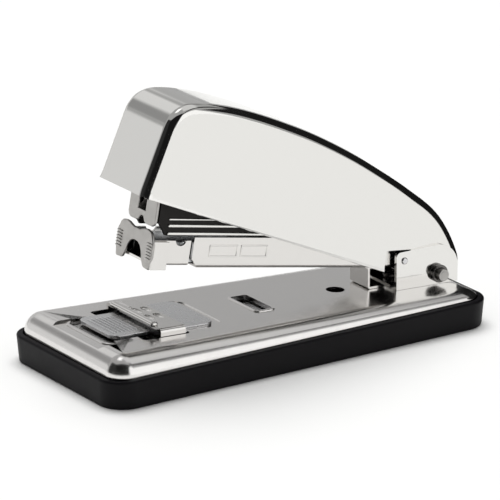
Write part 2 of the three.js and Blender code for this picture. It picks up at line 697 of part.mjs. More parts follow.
function buildStiffener() {
  const { x0, x1, low, high, wall } = stiffener;
  return cut(box(x0, x1, -stiffener.half, stiffener.half, low, high),
    box(x0 - 1, x1 + 1, wall - stiffener.half, stiffener.half - wall, low - 1, high - wall));
}

add(handle, 'handle_cover', buildCover(), chrome);
add(handle, 'driver_blade', box(blade.x - blade.wall / 2, blade.x + blade.wall / 2, -blade.half, blade.half,
  blade.low, blade.high), springSteel);
add(handle, 'driver_holder', buildBladeHolder(), zincSteel);
add(handle, 'driver_rivet_near', buildRivetHead(-1), zincSteel);
add(handle, 'driver_rivet_far', buildRivetHead(1), zincSteel);
add(handle, 'handle_stiffener', buildStiffener(), zincSteel);

const springSeat = chassis.low + chassis.shelf + gap + 0.4;
add(magazine, 'return_spring', coil(liftCoil.radius, liftCoil.wire, liftCoil.length, liftCoil.turns, 12)
  .rotateY(-degrees(liftCoil.lean)).translate(liftCoil.x, 0, springSeat), springSteel);

export default stapler;
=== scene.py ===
# Desktop stapler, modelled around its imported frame: a chrome shell handle over a front-loading magazine,
# hinged on a pressed chrome pan in a black rubber sole. Lengths in the dictionaries are millimetres.
import json
import math
import bpy
import bmesh
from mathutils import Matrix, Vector


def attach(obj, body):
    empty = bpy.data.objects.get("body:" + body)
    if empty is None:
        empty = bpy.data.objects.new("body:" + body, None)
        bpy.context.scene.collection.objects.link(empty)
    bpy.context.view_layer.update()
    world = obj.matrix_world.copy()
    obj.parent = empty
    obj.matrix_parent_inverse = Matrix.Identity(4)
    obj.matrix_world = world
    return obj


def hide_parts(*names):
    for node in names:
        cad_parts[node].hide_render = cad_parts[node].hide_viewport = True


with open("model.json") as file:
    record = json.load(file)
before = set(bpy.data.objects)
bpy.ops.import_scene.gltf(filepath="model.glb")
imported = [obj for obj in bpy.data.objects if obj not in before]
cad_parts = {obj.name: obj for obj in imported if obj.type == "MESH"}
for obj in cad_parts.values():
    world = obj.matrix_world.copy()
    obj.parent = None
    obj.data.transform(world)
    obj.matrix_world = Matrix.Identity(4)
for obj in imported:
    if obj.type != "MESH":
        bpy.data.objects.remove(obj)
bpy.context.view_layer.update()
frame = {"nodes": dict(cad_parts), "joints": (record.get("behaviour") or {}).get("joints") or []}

mm = 0.001
world = bpy.context.scene.world or bpy.data.worlds.new("studio")
bpy.context.scene.world = world
bpy.context.scene.view_settings.view_transform = "Standard"

hinge = next(j for j in frame["joints"] if j["name"] == "magazine_hinge")
axle = Vector(hinge["pos_m"]) / mm

# how each group of pieces stands at rest: turned about Y by an angle, then moved
pose = {
    "magazineTilt": 10.25,
    "handleTilt": 24.3,
    "deckHeight": 13.45,  # the pan's top over the desk at the middle
    "deckSlope": math.degrees(math.atan(5.3 / 145)),
}
groups = {
    "stapler": (0, Vector()),
    "deck": (pose["deckSlope"], Vector((0, 0, pose["deckHeight"]))),
    "magazine": (pose["magazineTilt"], axle),
    "handle": (pose["handleTilt"], axle),
}


# ---- modelling helpers, all in millimetres ----
def only(obj):
    if bpy.context.object and bpy.context.object.mode != "OBJECT":
        bpy.ops.object.mode_set(mode="OBJECT")
    bpy.ops.object.select_all(action="DESELECT")
    obj.select_set(True)
    bpy.context.view_layer.objects.active = obj


def edit(obj, kind="VERT"):
    only(obj)
    bpy.ops.object.mode_set(mode="EDIT")
    bpy.ops.mesh.select_mode(type=kind)
    bpy.ops.mesh.select_all(action="DESELECT")


def leave():
    bpy.ops.object.mode_set(mode="OBJECT")


# selects what passes the test: a vertex by its place, an edge by its two ends, a face by its middle and normal
def pick(obj, kind, test):
    edit(obj, kind)
    mesh = bmesh.from_edit_mesh(obj.data)
    if kind == "VERT":
        chosen = [v for v in mesh.verts if test(v.co / mm)]
    elif kind == "EDGE":
        chosen = [e for e in mesh.edges if test(e.verts[0].co / mm, e.verts[1].co / mm)]
    else:
        mesh.normal_update()
        chosen = [f for f in mesh.faces if test(f.calc_center_median() / mm, f.normal)]
    for element in chosen:
        element.select_set(True)
    bmesh.update_edit_mesh(obj.data)
    return len(chosen)


def near(a, b, slack=0.02):
    return abs(a - b) < slack


def move(x=0, y=0, z=0):
    bpy.ops.transform.translate(value=(x * mm, y * mm, z * mm))


def grow(x=1, y=1, z=1, centre=(0, 0, 0)):
    bpy.ops.transform.resize(value=(x, y, z), center_override=Vector(centre) * mm)


def bevel(width, segments=3, profile=0.5):
    bpy.ops.mesh.bevel(offset=width * mm, segments=segments, profile=profile, affect="EDGES",
                       clamp_overlap=True, loop_slide=False)


def inset(width, depth=0):
    bpy.ops.mesh.inset(thickness=width * mm, depth=depth * mm)


def extrude(x=0, y=0, z=0):
    bpy.ops.mesh.extrude_region_move(TRANSFORM_OT_translate={"value": (x * mm, y * mm, z * mm)})


# a new edge ring where a level plane crosses the piece
def ringAt(obj, z):
    edit(obj)
    bpy.ops.mesh.select_all(action="SELECT")
    bpy.ops.mesh.bisect(plane_co=(0, 0, z * mm), plane_no=(0, 0, 1), threshold=1e-7)
    leave()


def named(name):
    obj = bpy.context.object
    obj.name = obj.data.name = name
    return obj


def block(name, x, y, z):
    bpy.ops.object.select_all(action="DESELECT")
    middle = [(a + b) / 2 * mm for a, b in (x, y, z)]
    bpy.ops.mesh.primitive_cube_add(size=1, location=middle, scale=[(b - a) * mm for a, b in (x, y, z)])
    bpy.ops.object.transform_apply(location=True, rotation=True, scale=True)
    return named(name)


def rod(name, radius, start, end, axis="Y", sides=48, across=(0, 0)):
    bpy.ops.object.select_all(action="DESELECT")
    middle = (start + end) / 2
    place = {"X": (middle, *across), "Y": (across[0], middle, across[1]), "Z": (*across, middle)}[axis]
    turn = {"X": (0, math.pi / 2, 0), "Y": (math.pi / 2, 0, 0), "Z": (0, 0, 0)}[axis]
    bpy.ops.mesh.primitive_cylinder_add(vertices=sides, radius=radius * mm, depth=(end - start) * mm,
                                        location=Vector(place) * mm, rotation=turn)
    bpy.ops.object.transform_apply(location=True, rotation=True, scale=True)
    return named(name)


# an outline drawn corner by corner in the XZ, YZ or XY plane, filled, and drawn out to a thickness
def traced(name, points, plane, low, high):
    places = {
        "XZ": [(a, low, b) for a, b in points],
        "YZ": [(low, a, b) for a, b in points],
        "XY": [(a, b, low) for a, b in points],
    }[plane]
    bpy.ops.object.select_all(action="DESELECT")
    bpy.ops.mesh.primitive_plane_add(size=mm, location=Vector(places[0]) * mm)
    bpy.ops.object.transform_apply(location=True, rotation=True, scale=True)
    obj = named(name)
    edit(obj)
    bpy.ops.mesh.select_all(action="SELECT")
    bpy.ops.mesh.merge(type="CENTER")
    for before, after in zip(places, places[1:]):
        extrude(*(Vector(after) - Vector(before)))
    bpy.ops.mesh.select_all(action="SELECT")
    bpy.ops.mesh.edge_face_add()
    bpy.ops.mesh.select_all(action="SELECT")
    depth = high - low
    if depth:
        extrude(*{"XZ": (0, depth, 0), "YZ": (depth, 0, 0), "XY": (0, 0, depth)}[plane])
    bpy.ops.mesh.select_all(action="SELECT")
    bpy.ops.mesh.normals_make_consistent(inside=False)
    leave()
    return obj


def modify(obj, kind, **settings):
    only(obj)
    modifier = obj.modifiers.new(kind.lower(), kind)
    for key, value in settings.items():
        setattr(modifier, key, value)
    bpy.ops.object.modifier_apply(modifier=modifier.name)


def carve(obj, *tools, how="DIFFERENCE"):
    for tool in tools:
        modify(obj, "BOOLEAN", operation=how, object=tool, solver="MANIFOLD")
        bpy.data.objects.remove(tool)
    return obj


def twin(obj, name, x=0, y=0, z=0, mirror=False):
    only(obj)
    bpy.ops.object.duplicate(linked=False)
    made = named(name)
    edit(made)
    bpy.ops.mesh.select_all(action="SELECT")
    if mirror:
        grow(1, -1, 1)
        bpy.ops.mesh.normals_make_consistent(inside=False)
    move(x, y, z)
    leave()
    return made


# soft edges that catch the light as a pressed sheet's do
def soften(obj, width, segments=3, angle=35):
    modify(obj, "BEVEL", width=width * mm, segments=segments, limit_method="ANGLE",
           angle_limit=math.radians(angle), harden_normals=False, use_clamp_overlap=True, loop_slide=False)


def finish(obj, group, body, material, nodes=(), smooth=35, level=None):
    only(obj)
    turn, place = groups[group]
    obj.rotation_euler = (0, math.radians(turn), 0)
    obj.location = place * mm
    bpy.ops.object.transform_apply(location=True, rotation=True, scale=True)
    bpy.ops.object.shade_smooth_by_angle(angle=math.radians(smooth))
    if level is None:
        modify(obj, "WEIGHTED_NORMAL", keep_sharp=True, weight=70)
    else:  # faces square to this direction are kept perfectly flat
        pick(obj, "FACE", lambda m, n: n.dot(level) > 0.9998)
        bpy.ops.mesh.faces_shade_flat()
        leave()
    obj.data.materials.clear()
    obj.data.materials.append(material)
    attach(obj, body)
    if nodes:
        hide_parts(*nodes)


# ---- materials ----
def linear(hexColour):
    parts = [int(hexColour[i:i + 2], 16) / 255 for i in (1, 3, 5)]
    return [p / 12.92 if p <= 0.04045 else ((p + 0.055) / 1.055) ** 2.4 for p in parts] + [1]


def add(tree, kind, settings=None, links=None):
    made = tree.nodes.new(kind)
    for key, value in (settings or {}).items():
        if key in made.inputs:
            made.inputs[key].default_value = value
        else:
            setattr(made, key, value)
    for key, source in (links or {}).items():
        tree.links.new(source, made.inputs[key])
    return made


def newMaterial(name):
    material = bpy.data.materials.new(name)
    material.use_nodes = True
    tree = material.node_tree
    tree.nodes.clear()
    shader = add(tree, "ShaderNodeBsdfPrincipled")
    add(tree, "ShaderNodeOutputMaterial", links={"Surface": shader.outputs["BSDF"]})
    place = add(tree, "ShaderNodeTexCoord").outputs["Object"]
    return material, tree, shader, place


# a metal whose roughness varies between two values over patches of a real size, with hairline marks along one axis
def metal(name, tone, smooth, rough, patch, wave, waveHeight, grain, grainHeight, stretch):
    material, tree, shader, place = newMaterial(name)
    shader.inputs["Base Color"].default_value = linear(tone)
    shader.inputs["Metallic"].default_value = 1.0
    patches = add(tree, "ShaderNodeTexNoise", {"Scale": 1 / (patch * mm), "Detail": 4.0}, {"Vector": place})
    spread = add(tree, "ShaderNodeMapRange", {"From Min": 0.3, "From Max": 0.7, "To Min": smooth, "To Max": rough},
                 {"Value": patches.outputs["Fac"]})
    tree.links.new(spread.outputs["Result"], shader.inputs["Roughness"])
    waves = add(tree, "ShaderNodeTexNoise", {"Scale": 1 / (wave * mm), "Detail": 1.0}, {"Vector": place})
    swell = add(tree, "ShaderNodeBump", {"Strength": 1.0, "Distance": waveHeight * mm},
                {"Height": waves.outputs["Fac"]})
    drawn = add(tree, "ShaderNodeMapping", {"Scale": stretch}, {"Vector": place})
    hair = add(tree, "ShaderNodeTexNoise", {"Scale": 1 / (grain * mm), "Detail": 3.0},
               {"Vector": drawn.outputs["Vector"]})
    marks = add(tree, "ShaderNodeBump", {"Strength": 1.0, "Distance": grainHeight * mm},
                {"Height": hair.outputs["Fac"], "Normal": swell.outputs["Normal"]})
    tree.links.new(marks.outputs["Normal"], shader.inputs["Normal"])
    return material


# bright chromium plate on pressed sheet: a near mirror, a little wavy from the press, with faint polishing haze
chromePlate = metal("chromePlate", "#E4E3E0", 0.05, 0.11, 9, 14, 0.010, 0.6, 0.0004, (1, 1, 1))
# chrome over a flatly polished base: shapes melt together in it, with the drawn lines of the polishing belt
satinChrome = metal("satinChrome", "#E2E0DE", 0.15, 0.22, 7, 12, 0.010, 0.5, 0.0012, (0.12, 1, 1))
# chrome over a less polished strip: mirror reflections blur sooner
chromeStrip = metal("chromeStrip", "#DEDCD9", 0.11, 0.20, 4, 8, 0.006, 0.35, 0.0012, (0.25, 1, 1))
# matt nickel plate on tumbled steel: grey, no clear reflections
mattNickel = metal("mattNickel", "#B4B2AF", 0.28, 0.42, 2.5, 5, 0.006, 0.3, 0.004, (1, 1, 1))
# zinc plate on rolled sheet: pale, slightly milky, drawn along its length
zincPlate = metal("zincPlate", "#DADADB", 0.22, 0.34, 3, 6, 0.005, 0.4, 0.0012, (0.2, 1, 1))
# spring steel, oiled: darker and smoother than the zinc
springSteel = metal("springSteel", "#9A9894", 0.16, 0.26, 2, 4, 0.002, 0.2, 0.0008, (0.3, 1, 1))
# the same steel coloured darker as painted shade, for the shaded inside of the hinge bracket and the dark ring round
# the pin ends
paintedShadeDark = metal("paintedShadeDark", "#6A6866", 0.22, 0.34, 2, 4, 0.002, 0.2, 0.0008, (1, 1, 1))
# steel coloured near black as painted shade for the gaps between the magazine's rails and the inside of the loading
# slide, deep in the mechanism: almost no light comes back out of it
paintedShadeBlack = metal("paintedShadeBlack", "#2A2928", 0.30, 0.45, 2, 4, 0.002, 0.3, 0.001, (0.3, 1, 1))
# galvanised staple wire: bright grey, drawn round and pressed flat
stapleWire = metal("stapleWire", "#C4C6C8", 0.18, 0.28, 1.5, 3, 0.002, 0.15, 0.0008, (1, 0.2, 1))


# black moulded rubber: dull, with the fine bloom and grain of the mould
def rubberSkin():
    material, tree, shader, place = newMaterial("mouldedRubber")
    shader.inputs["Specular IOR Level"].default_value = 0.14
    bloom = add(tree, "ShaderNodeTexNoise", {"Scale": 1 / (12 * mm), "Detail": 5.0}, {"Vector": place})
    tones = add(tree, "ShaderNodeMix", {"data_type": "RGBA"}, {"Factor": bloom.outputs["Fac"]})
    tones.inputs[6].default_value = linear("#070609")
    tones.inputs[7].default_value = linear("#0E0C10")
    tree.links.new(tones.outputs[2], shader.inputs["Base Color"])
    dull = add(tree, "ShaderNodeMapRange", {"To Min": 0.42, "To Max": 0.6}, {"Value": bloom.outputs["Fac"]})
    tree.links.new(dull.outputs["Result"], shader.inputs["Roughness"])
    grain = add(tree, "ShaderNodeTexNoise", {"Scale": 1 / (0.5 * mm), "Detail": 3.0}, {"Vector": place})
    bumps = add(tree, "ShaderNodeBump", {"Strength": 1.0, "Distance": 0.01 * mm}, {"Height": grain.outputs["Fac"]})
    tree.links.new(bumps.outputs["Normal"], shader.inputs["Normal"])
    return material


mouldedRubber = rubberSkin()
print("materials ready")

# ---- base ----
sole = {
    "length": 145, "frontHalf": 31.9, "rearHalf": 26.7, "height": 9.1, "corner": 8.6,
    "draft": 0.61, "rim": 2.0, "floor": 3.0, "lip": 0.8, "foot": 0.6,
    "screwX": 56.5, "screwY": 12.7, "screwHole": 3.5, "screwSeat": 1.9, "screwShank": 1.8,
}


def buildSole():
    s = sole
    half = s["length"] / 2
    body = block("moulded_sole", (-half, half), (-s["frontHalf"], s["frontHalf"]), (0, s["height"]))
    pick(body, "VERT", lambda p: p.x > 0)
    grow(y=s["rearHalf"] / s["frontHalf"])
    pick(body, "VERT", lambda p: near(p.z, 0))
    grow(x=1 - s["draft"] / half, y=1 - s["draft"] / s["frontHalf"])
    pick(body, "EDGE", lambda a, b: abs(a.z - b.z) > 5)
    bevel(s["corner"], 14)
    pick(body, "FACE", lambda c, n: n.z > 0.9)
    inset(s["rim"])
    extrude(z=s["floor"] - s["height"])
    pick(body, "EDGE", lambda a, b: near(a.z, s["height"]) and near(b.z, s["height"])
         and not insideRim(a, 0.5) and not insideRim(b, 0.5))
    bevel(s["lip"], 5)
    pick(body, "EDGE", lambda a, b: near(a.z, 0) and near(b.z, 0))
    bevel(s["foot"], 3)
    leave()
    for x in (-s["screwX"], s["screwX"]):
        for y in (-s["screwY"], s["screwY"]):
            carve(body, rod("hole", s["screwHole"], -1, s["screwSeat"], "Z", 32, (x, y)),
                  rod("hole", s["screwShank"], 0, s["floor"] + 1, "Z", 24, (x, y)))
    finish(body, "stapler", "base", mouldedRubber, ["rubber_sole"])


# true for a point on the sole's top that lies further in than a distance from the outer edge
def insideRim(p, distance):
    half = sole["length"] / 2
    width = sole["frontHalf"] + (sole["rearHalf"] - sole["frontHalf"]) * (p.x + half) / sole["length"]
    corner = sole["corner"]
    if abs(p.x) > half - corner and abs(p.y) > width - corner:
        return math.hypot(abs(p.x) - half + corner, abs(p.y) - width + corner) < corner - distance
    return abs(p.x) < half - distance and abs(p.y) < width - distance


buildSole()

pan = {
    "inset": 2.3, "foot": 9.3, "bottom": 3.3, "shoulder": 6.1, "corner": 6.8, "wall": 1.0, "steps": 16,
    "frontTop": 16.1, "rearTop": 10.8,
    "fingerDish": {"x": (-72, -55), "y": (-14.4, 12.2), "depth": 0.9, "corner": 2.2, "tray": -66.9},
    "window": {"x": (-62.4, -44), "y": (-12.0, 12.0), "corner": 2.4, "lip": 1.1, "proud": 0.35},
    "legSlots": {"x": (-51.6, -35.0), "y": (10, 16.3), "corner": 1.2},
    "plateDish": {"x": (-48, -20.6), "y": (-14, 14), "depth": 0.35, "corner": 4.5},
    "catchSlot": {"x": (-5.2, 0.8), "y": (-7.8, 7.8), "corner": 0.9, "lip": 0.9, "proud": 0.4},
    "hole": {"x": 29.2, "radius": 3.0},
}


# a rounded rectangular tool standing on the pan's sloping top, wider at its upper end by its flare
def deckTool(x, y, z, corner, flare=0.0):
    tool = block("tool", x, y, z)
    pick(tool, "EDGE", lambda a, b: abs(a.z - b.z) > 0.1)
    bevel(corner, 6)
    pick(tool, "VERT", lambda v: near(v.z, z[1]))
    grow(x=1 + 2 * flare / (x[1] - x[0]), y=1 + 2 * flare / (y[1] - y[0]),
         centre=((x[0] + x[1]) / 2, (y[0] + y[1]) / 2, 0))
    leave()
    return onDeck(tool)


def onDeck(tool):
    only(tool)
    turn, place = groups["deck"]
    tool.rotation_euler = (0, math.radians(turn), 0)
    tool.location = place * mm
    bpy.ops.object.transform_apply(location=True, rotation=True, scale=True)
    return tool


# the rounded lip that the press raises around an opening
def deckLip(opening, base):
    lip, (x0, x1), (y0, y1) = opening["lip"], opening["x"], opening["y"]
    top = base + opening["proud"]
    ring = block("tool", (x0 - lip, x1 + lip), (y0 - lip, y1 + lip), (base - 0.6, top))
    pick(ring, "EDGE", lambda a, b: abs(a.z - b.z) > 0.1)
    bevel(opening["corner"] + lip, 8)
    pick(ring, "EDGE", lambda a, b: near(a.z, top) and near(b.z, top))
    bevel(opening["proud"] * 0.95, 8)
    leave()
    return onDeck(ring)


def buildPan():
    p = pan
    halfX = sole["length"] / 2 - p["inset"]
    halfY = sole["frontHalf"] - p["inset"]
    shell = block("pressed_pan", (-halfX, halfX), (-halfY, halfY), (p["bottom"], p["foot"]))
    pick(shell, "VERT", lambda v: v.x > 0)
    grow(y=(sole["rearHalf"] - p["inset"]) / halfY)
    pick(shell, "EDGE", lambda a, b: abs(a.z - b.z) > 5)
    bevel(p["corner"], 14)
    # the shoulder rises in rings over the foot, one millimetre high in all, and is stretched to the slope after
    pick(shell, "FACE", lambda c, n: n.z > 0.9)
    for i in range(p["steps"]):
        a, b = (k / p["steps"] * math.pi / 2 for k in (i, i + 1))
        inset(p["shoulder"] * (math.cos(a) - math.cos(b)))
        move(z=math.sin(b) - math.sin(a))
    inset(0.4)
    pick(shell, "FACE", lambda c, n: n.z < -0.9)
    bpy.ops.mesh.delete(type="FACE")
    leave()
    slope = (p["frontTop"] - p["rearTop"]) / sole["length"]
    middle = (p["frontTop"] + p["rearTop"]) / 2 - p["foot"]
    for v in shell.data.vertices:
        rise = v.co.z / mm - p["foot"]
        if rise > 0:
            v.co.z = (p["foot"] + rise * (middle - slope * v.co.x / mm)) * mm
    modify(shell, "SOLIDIFY", thickness=p["wall"] * mm, offset=-1)
    slopeAngle = math.radians(pose["deckSlope"])
    dish, plate, window, catch = p["fingerDish"], p["plateDish"], p["window"], p["catchSlot"]
    # metal under both dishes, so that pressing them does not cut through the sheet
    tray = deckTool((dish["tray"], plate["x"][1] + 1), (dish["y"][0] - 1, dish["y"][1] + 1.6), (-1.8, -0.5), 3)
    carve(shell, tray, how="UNION")
    clear, through = 3, -6  # how far a tool stands over the top, and how deep it goes to cut right through
    carve(shell, deckTool(dish["x"], dish["y"], (-dish["depth"], clear), dish["corner"], dish["depth"] + clear),
          deckTool(plate["x"], plate["y"], (-plate["depth"], clear), plate["corner"], 1.5))
    carve(shell, deckLip(window, -dish["depth"]), deckLip(catch, 0), how="UNION")
    carve(shell, deckTool(window["x"], window["y"], (through, clear), window["corner"]))
    legs = p["legSlots"]
    for side in (-1, 1):
        y = sorted((side * legs["y"][0], side * legs["y"][1]))
        carve(shell, deckTool(legs["x"], y, (through, clear), legs["corner"]))
    carve(shell, deckTool(catch["x"], catch["y"], (through, clear), catch["corner"]))
    hole = rod("tool", p["hole"]["radius"], 0, 20, "Z", 48, (p["hole"]["x"] + 0.3, 0))
    carve(shell, hole)
    finish(shell, "stapler", "base", satinChrome, ["base_pan"], smooth=20,
           level=Vector((math.sin(slopeAngle), 0, math.cos(slopeAngle))))


buildPan()
print("base ready")

# ---- handle ----
cover = {
    "arch": [(-120.6, 16), (-120.3, 19.5), (-118.6, 23.2), (-115.2, 26), (-110, 27.7), (-104, 28.8), (-96, 29.7),
             (-86, 30.1), (-76, 30.0), (-66, 29.6), (-56, 28.7), (-46, 27.4), (-36, 25.6), (-26, 23.6), (-18, 21.7),
             (-10.5, 19.7), (-4.5, 17.2), (1, 13.6), (5.6, 9.7), (8.6, 6.4), (10.0, 3.0)],
    "bottom": -4.9, "wall": 0.8, "edge": 3.2, "noseHalf": 13.7, "rearHalf": 8.8, "taperEnd": -14,
    "lipRise": 2.2, "lipOut": 0.45,
    "cheekCut": [(-20.3, -10), (-20.3, -4.9), (-22.2, 1.6), (-13, 4.4), (-4.2, 0.4), (-3.2, -2), (-1.8, -3), (0, -3.5),
                 (2, -2.9), (3.3, -1.3), (4.4, 1.4), (20, 9.4), (20, -10)],
}


# points along a smooth line through the given ones
def smoothLine(points, perSpan):
    line = []
    padded = [points[0], *points, points[-1]]
    for i in range(len(points) - 1):
        a, b, c, d = (Vector(q) for q in padded[i:i + 4])
        for k in range(perSpan):
            t = k / perSpan
            line.append(0.5 * (2 * b + (c - a) * t + (2 * a - 5 * b + 4 * c - d) * t * t
                               + (3 * b - a - 3 * c + d) * t ** 3))
    return [tuple(q) for q in line] + [points[-1]]


def coverHalf(x):
    c = cover
    share = min(max((x - c["arch"][0][0]) / (c["taperEnd"] - c["arch"][0][0]), 0), 1)
    return c["noseHalf"] + (c["rearHalf"] - c["noseHalf"]) * share


def buildCover():
    c = cover
    arch = smoothLine(c["arch"], 3)
    nose, tail = arch[0][0], arch[-1][0]
    outline = [(tail, c["bottom"]), (nose, c["bottom"])] + arch
    shell = traced("pressed_cover", outline, "XZ", -c["noseHalf"], c["noseHalf"])
    for x in sorted({round(q[0], 4) for q in outline}):
        pick(shell, "VERT", lambda v: near(v.x, x, 0.002))
        grow(y=coverHalf(x) / c["noseHalf"])
    pick(shell, "FACE", lambda m, n: n.z < -0.9 and near(m.z, c["bottom"]))
    bpy.ops.mesh.delete(type="FACE")
    pick(shell, "EDGE", lambda a, b: a.y * b.y > 0 and not (near(a.z, c["bottom"]) and near(b.z, c["bottom"])))
    bevel(c["edge"], 9)
    leave()
    # the lower edge is rolled a little outwards
    ringAt(shell, c["bottom"] + c["lipRise"])
    ringAt(shell, c["bottom"] + c["lipRise"] / 2)
    pick(shell, "VERT", lambda v: v.z < c["bottom"] + c["lipRise"] * 0.7)
    grow(y=1 + c["lipOut"] / 3 / c["noseHalf"])
    pick(shell, "VERT", lambda v: near(v.z, c["bottom"]))
    grow(y=1 + c["lipOut"] * 2 / 3 / c["noseHalf"])
    leave()
    modify(shell, "SOLIDIFY", thickness=c["wall"] * mm, offset=-1)
    carve(shell, traced("tool", c["cheekCut"], "XZ", -30, 30), rod("tool", 2.2, -20, 20, "Y", 32, (0, 0)))
    finish(shell, "handle", "handle", chromePlate, ["handle_cover"], smooth=40)


buildCover()
print("handle ready")

# ---- anvil ----
anvil = {
    "slideLow": -0.4, "slideHigh": 0.8,
    "tab": {"x": (-59.6, -44), "half": 10.6, "corner": 2.8},
    "plate": {"x": (-46, -23.4), "half": 12.4, "corner": 3.4},
    "grips": {"first": -57.6, "pitch": 1.35, "count": 7, "half": 7.6, "width": 0.6, "height": 0.3},
    "pad": {"x": (-45.6, -36.6), "half": 15.9, "high": 2.6, "sheet": 1.0, "legDepth": -2.4},
    "ridge": {"x": -45.6, "width": 2.6, "half": 12.4, "height": 1.25},
    "bar": {"x": -42.9, "width": 1.3, "y": (6.2, 13.2), "height": 0.6},
    "pockets": {"x": (-42.3, -38.8), "y": 3.6, "long": 2.7, "wide": 1.35, "deep": 0.8},
}


def roundedBlock(name, x, y, z, corner, segments=6):
    made = block(name, x, y, z)
    tall = (z[1] - z[0]) * 0.9
    pick(made, "EDGE", lambda a, b: abs(a.z - b.z) > tall)
    bevel(corner, segments)
    leave()
    return made


def buildAnvil():
    a = anvil
    tab, plate, grips = a["tab"], a["plate"], a["grips"]
    low, high = a["slideLow"], a["slideHigh"]
    body = roundedBlock("anvil_plate", plate["x"], (-plate["half"], plate["half"]), (low, high), plate["corner"])
    carve(body, roundedBlock("tool", tab["x"], (-tab["half"], tab["half"]), (low, high), tab["corner"]), how="UNION")
    soften(body, 0.32, 3)
    ribs = []
    first = block("rib", (grips["first"], grips["first"] + grips["width"]), (-grips["half"], grips["half"]),
                  (high - 0.2, high + grips["height"]))
    soften(first, 0.12, 2)
    for i in range(1, grips["count"]):
        ribs.append(twin(first, "rib", x=i * grips["pitch"]))
    carve(body, first, *ribs, how="UNION")
    finish(body, "deck", "anvil", zincPlate, ["anvil_slide"])

    pad, ridge, pockets = a["pad"], a["ridge"], a["pockets"]
    strap = block("anvil_strap", pad["x"], (-pad["half"], pad["half"]), (pad["legDepth"], pad["high"]))
    pick(strap, "EDGE", lambda p, q: near(p.z, pad["high"]) and near(q.z, pad["high"]) and near(p.y, q.y))
    bevel(1.3, 5)
    pick(strap, "FACE", lambda m, n: n.z < -0.9 or abs(n.x) > 0.9)
    bpy.ops.mesh.delete(type="FACE")
    leave()
    modify(strap, "SOLIDIFY", thickness=pad["sheet"] * mm, offset=-1)
    bar = block("tool", (ridge["x"] - ridge["width"] / 2, ridge["x"] + ridge["width"] / 2),
                (-ridge["half"], ridge["half"]), (pad["high"] - 0.4, pad["high"] + ridge["height"]))
    soften(bar, 0.9, 5)
    short = a["bar"]
    stop = block("tool", (short["x"] - short["width"] / 2, short["x"] + short["width"] / 2), short["y"],
                 (pad["high"] - 0.4, pad["high"] + short["height"]))
    soften(stop, 0.5, 4)
    carve(strap, bar, stop, how="UNION")
    for x in pockets["x"]:
        for side in (-1, 1):
            bpy.ops.object.select_all(action="DESELECT")
            bpy.ops.mesh.primitive_uv_sphere_add(segments=32, ring_count=16, radius=mm,
                                                 location=Vector((x, side * pockets["y"], pad["high"] + 0.1)) * mm,
                                                 scale=(pockets["wide"], pockets["long"], pockets["deep"]))
            bpy.ops.object.transform_apply(location=True, rotation=True, scale=True)
            carve(strap, named("tool"))
    soften(strap, 0.14, 2, 50)
    finish(strap, "deck", "anvil", chromeStrip, ["anvil_pad"])

    window = pan["window"]
    leaf = roundedBlock("detent_leaf", (window["x"][0] + 3, -25), (-3, 3), (-3.3, -2.8), 1.0)
    soften(leaf, 0.12, 2)
    finish(leaf, "deck", "base", springSteel, ["anvil_detent_spring"])

    catch = pan["catchSlot"]
    ribbed = block("catch_leaf", (catch["x"][0] - 2, catch["x"][1] + 2), (-6.6, 6.6), (-2.6, -2.0))
    bars = [block("bar", (catch["x"][0] + 0.5 + i * 1.1, catch["x"][0] + 1.0 + i * 1.1), (-6, 6), (-2.2, -1.5))
            for i in range(5)]
    carve(ribbed, *bars, how="UNION")
    soften(ribbed, 0.1, 2)
    finish(ribbed, "deck", "base", zincPlate, ["catch_spring"])


buildAnvil()
print("anvil ready")

# ---- hinge bracket, axle and lifting spring ----
bracket = {
    "front": 46, "rear": 69.6, "top": 24.2, "half": 10.2, "sheet": 1.1, "corner": 1.6, "rearCorner": 7.8,
    "floorLength": 10, "stud": {"x": 49, "z": 21.2, "radius": 1.05, "out": 0.55},
    "pin": {"radius": 1.9, "half": 13.9, "collar": 2.9, "collarOut": 1.6},
    "bolt": {"x": 51.0, "head": 2.8, "height": 1.3},
}


def deckTop(x):
    return pose["deckHeight"] - x * math.tan(math.radians(pose["deckSlope"]))


def arcPoints(cx, cz, radius, start, end, steps):
    return [(cx + radius * math.cos(math.radians(start + (end - start) * i / steps)),
             cz + radius * math.sin(math.radians(start + (end - start) * i / steps))) for i in range(steps + 1)]


